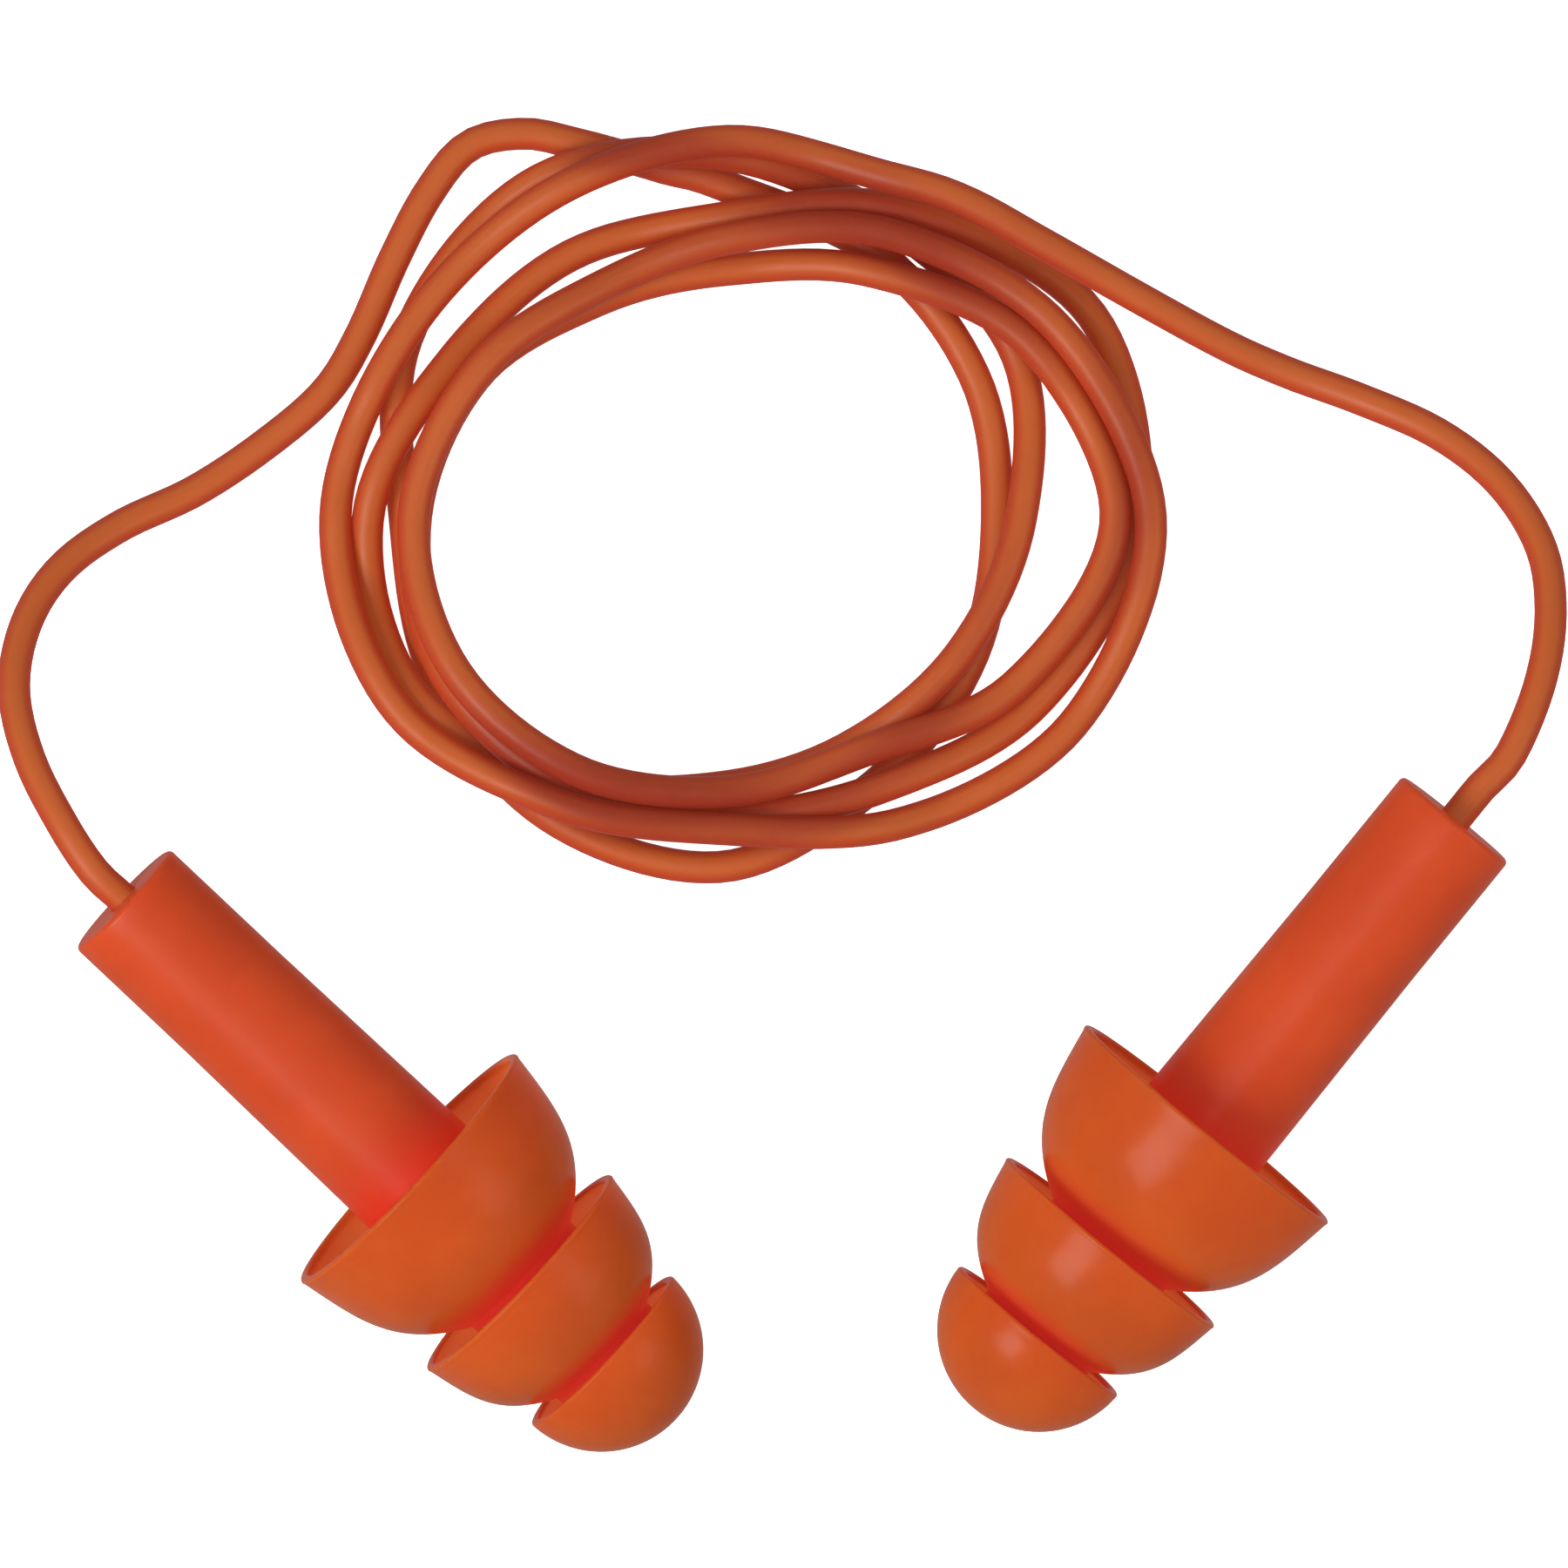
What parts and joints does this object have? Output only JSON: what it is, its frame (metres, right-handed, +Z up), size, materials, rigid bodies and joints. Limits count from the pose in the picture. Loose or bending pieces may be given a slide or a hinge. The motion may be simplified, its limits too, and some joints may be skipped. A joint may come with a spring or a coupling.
{
  "type": "ear plugs",
  "caption": "Pair of reusable soft flanged ear plugs on firm stems, joined by a thin translucent cord that lies in a loose coil.",
  "frame": {"origin": "on the surface the plugs lie on, below the middle of the two plugs", "axes": "+Z up, +X from the left plug to the right plug, +Y from the plugs towards the coil of cord"},
  "size_m": [0.0621, 0.0536, 0.0123],
  "materials": {
    "stem": "firm glossy orange-red elastomer",
    "ear_tip": "soft satin orange elastomer",
    "cord": "translucent glossy orange elastomer"
  },
  "bodies": {
    "cord": {"cord_coil": "cord", "left_lead": "cord", "right_lead": "cord"},
    "left_plug": {"left_stem": "stem", "left_ear_tip": "ear_tip"},
    "right_plug": {"right_stem": "stem", "right_ear_tip": "ear_tip"}
  },
  "joints": [
    {"name": "left_plug_swing", "type": "hinge", "parent": "cord", "child": "left_plug", "pos_m": [-0.02649, 0.00833, 0.00842], "axis": [0, 0, 1], "range_deg": [-60, 12], "deforming": ["left_lead"]},
    {"name": "right_plug_swing", "type": "hinge", "parent": "cord", "child": "right_plug", "pos_m": [0.02622, 0.01166, 0.00842], "axis": [0, 0, 1], "range_deg": [-12, 60], "deforming": ["right_lead"]}
  ]
}
